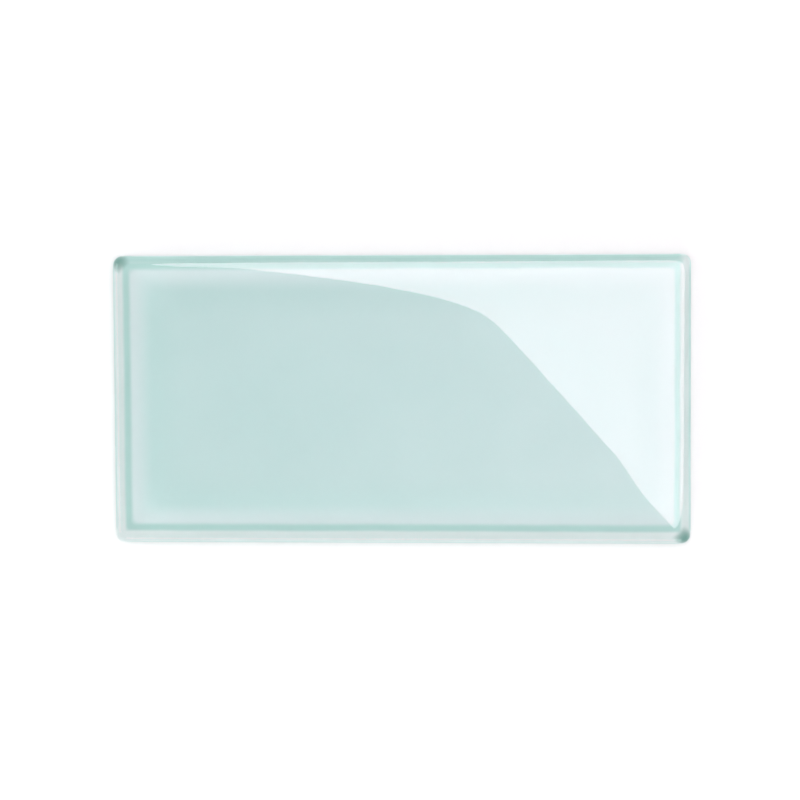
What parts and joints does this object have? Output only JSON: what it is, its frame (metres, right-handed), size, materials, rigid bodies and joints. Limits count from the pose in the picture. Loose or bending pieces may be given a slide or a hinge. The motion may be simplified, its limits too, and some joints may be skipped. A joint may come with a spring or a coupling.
{
  "type": "glass subway tile",
  "caption": "Oblong wall tile of clear glass with a flat, cushion-edged glossy face, upright sides and a colour coat on its back, for bedding in adhesive with grouted joints.",
  "frame": {"origin": "centre of the back of the coat, on the surface that the tile lies on or is bedded on", "axes": "+X along the tile's length, +Y across its width, +Z out of the glossy face"},
  "size_m": [0.152, 0.076, 0.008],
  "materials": {
    "glass": "clear, fire-polished and glossy, with a faint green tint at the edges",
    "coat": "pale aqua colour film with a matt primer on its back"
  },
  "bodies": {
    "root": {"glass_body": "glass", "colour_coat": "coat"}
  },
  "joints": []
}
